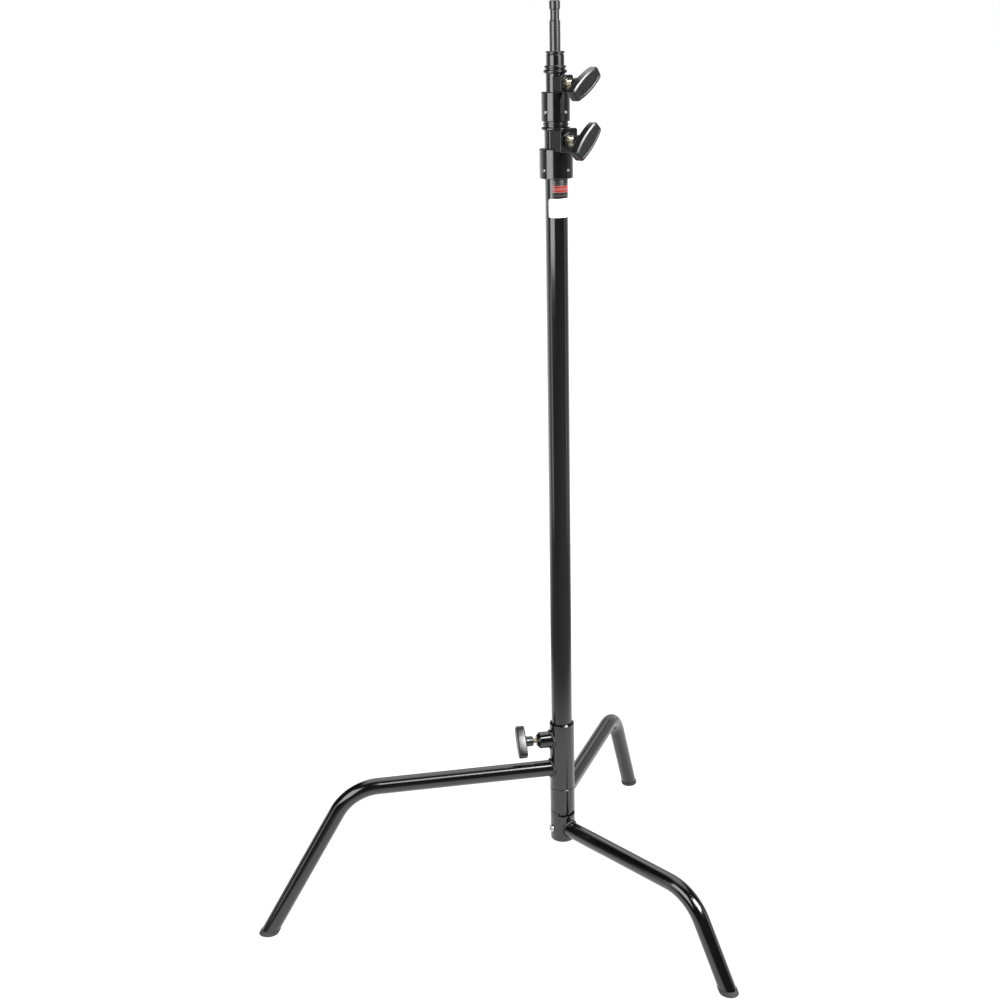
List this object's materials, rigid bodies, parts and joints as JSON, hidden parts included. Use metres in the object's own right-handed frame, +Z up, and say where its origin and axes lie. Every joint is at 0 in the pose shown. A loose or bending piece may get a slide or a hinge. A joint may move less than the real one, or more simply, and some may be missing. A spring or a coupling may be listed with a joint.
{
  "type": "folding light stand",
  "caption": "Folding studio light stand with stepped bent legs turning round a hub, a lift-out column, sliding risers, T-knob locks and a grooved stud on top.",
  "frame": {"origin": "the point on the floor under the column's axis", "axes": "+Z up along the column's axis; -X along the upper leg"},
  "size_m": [0.7472, 0.7311, 1.4568],
  "materials": {
    "gloss_black": "gloss enamel",
    "satin_black": "satin enamel",
    "stud_steel": "dark satin",
    "zinc_steel": "zinc plated",
    "yellow_zinc": "yellow zinc plated",
    "black_insert": "blackened",
    "brass": "turned",
    "rivet_aluminium": "satin",
    "knob_plastic": "moulded satin",
    "guide_nylon": "moulded",
    "foot_rubber": "matte",
    "band_print": "printed film",
    "blank_sticker": "paper film"
  },
  "bodies": {
    "lower_leg": {"lower_leg_sleeve": "gloss_black", "lower_leg_tube": "gloss_black", "lower_foot_cap": "foot_rubber", "centre_post": "satin_black", "lower_fixing_screw": "zinc_steel"},
    "middle_leg": {"middle_leg_sleeve": "gloss_black", "middle_leg_tube": "gloss_black", "middle_foot_cap": "foot_rubber", "middle_retaining_screw": "zinc_steel"},
    "upper_leg": {"upper_leg_sleeve": "gloss_black", "upper_leg_tube": "gloss_black", "upper_foot_cap": "foot_rubber", "upper_retaining_screw": "zinc_steel", "base_lock_boss": "gloss_black"},
    "base_lock_pad": {"base_clamp_pad": "brass"},
    "base_lock_knob": {"base_knob": "knob_plastic", "base_knob_screw": "yellow_zinc"},
    "column": {"column_tube": "gloss_black", "column_casting": "satin_black", "column_rivets": "rivet_aluminium", "column_top_ring": "satin_black", "column_lock_insert": "black_insert", "column_band_label": "band_print", "column_blank_label": "blank_sticker"},
    "column_lock_pad": {"column_clamp_pad": "brass"},
    "column_lock_knob": {"column_knob": "knob_plastic", "column_knob_screw": "yellow_zinc"},
    "riser_1_guide": {"riser_1_guide_ring": "guide_nylon"},
    "riser_1": {"riser_1_tube": "gloss_black", "riser_1_stop_ring": "satin_black", "riser_1_casting": "satin_black", "riser_1_rivets": "rivet_aluminium", "riser_1_top_ring": "satin_black", "riser_1_lock_insert": "black_insert"},
    "riser_1_lock_pad": {"riser_1_clamp_pad": "brass"},
    "riser_1_lock_knob": {"riser_1_knob": "knob_plastic", "riser_1_knob_screw": "yellow_zinc"},
    "riser_2_guide": {"riser_2_guide_ring": "guide_nylon"},
    "riser_2": {"riser_2_tube": "gloss_black", "riser_2_top_collar": "satin_black", "baby_pin": "stud_steel"}
  },
  "joints": [
    {"name": "middle_leg_fold", "type": "hinge", "parent": "lower_leg", "child": "middle_leg", "pos_m": [0, 0, 0.19], "axis": [0, 0, 1], "range_deg": [-120, 0]},
    {"name": "upper_leg_fold", "type": "hinge", "parent": "middle_leg", "child": "upper_leg", "pos_m": [0, 0, 0.246], "axis": [0, 0, 1], "range_deg": [-120, 0]},
    {"name": "base_lock_press", "type": "slide", "parent": "upper_leg", "child": "base_lock_pad", "axis": [-1, 0, 0], "range_m": [0, 0.00158]},
    {"name": "base_lock_turn", "type": "hinge", "parent": "base_lock_pad", "child": "base_lock_knob", "pos_m": [-0.06, 0, 0.298], "axis": [-1, 0, 0], "range_deg": [0, 450]},
    {"name": "column_lift", "type": "slide", "parent": "upper_leg", "child": "column", "axis": [0, 0, 1], "range_m": [0, 0.09]},
    {"name": "column_lock_press", "type": "slide", "parent": "column", "child": "column_lock_pad", "axis": [0.5299, -0.848, 0], "range_m": [0, 0.00221]},
    {"name": "column_lock_turn", "type": "hinge", "parent": "column_lock_pad", "child": "column_lock_knob", "pos_m": [0.0265, -0.0424, 1.2616], "axis": [0.5299, -0.848, 0], "range_deg": [0, 450]},
    {"name": "riser_1_slide", "type": "slide", "parent": "column", "child": "riser_1_guide", "axis": [0, 0, 1], "range_m": [0, 0.92]},
    {"name": "riser_1_turn", "type": "hinge", "parent": "riser_1_guide", "child": "riser_1", "pos_m": [0, 0, 1.3], "axis": [0, 0, 1], "continuous": true},
    {"name": "riser_1_lock_press", "type": "slide", "parent": "riser_1", "child": "riser_1_lock_pad", "axis": [0.5299, -0.848, 0], "range_m": [0, 0.00221]},
    {"name": "riser_1_lock_turn", "type": "hinge", "parent": "riser_1_lock_pad", "child": "riser_1_lock_knob", "pos_m": [0.0265, -0.0424, 1.3416], "axis": [0.5299, -0.848, 0], "range_deg": [0, 450]},
    {"name": "riser_2_slide", "type": "slide", "parent": "riser_1", "child": "riser_2_guide", "axis": [0, 0, 1], "range_m": [0, 0.92]},
    {"name": "riser_2_turn", "type": "hinge", "parent": "riser_2_guide", "child": "riser_2", "pos_m": [0, 0, 1.37], "axis": [0, 0, 1], "continuous": true}
  ],
  "couplings": [
    {"joint": "base_lock_press", "follows": "base_lock_turn", "m_per_rad": 0.00019894},
    {"joint": "column_lock_press", "follows": "column_lock_turn", "m_per_rad": 0.00027852},
    {"joint": "riser_1_lock_press", "follows": "riser_1_lock_turn", "m_per_rad": 0.00027852}
  ]
}
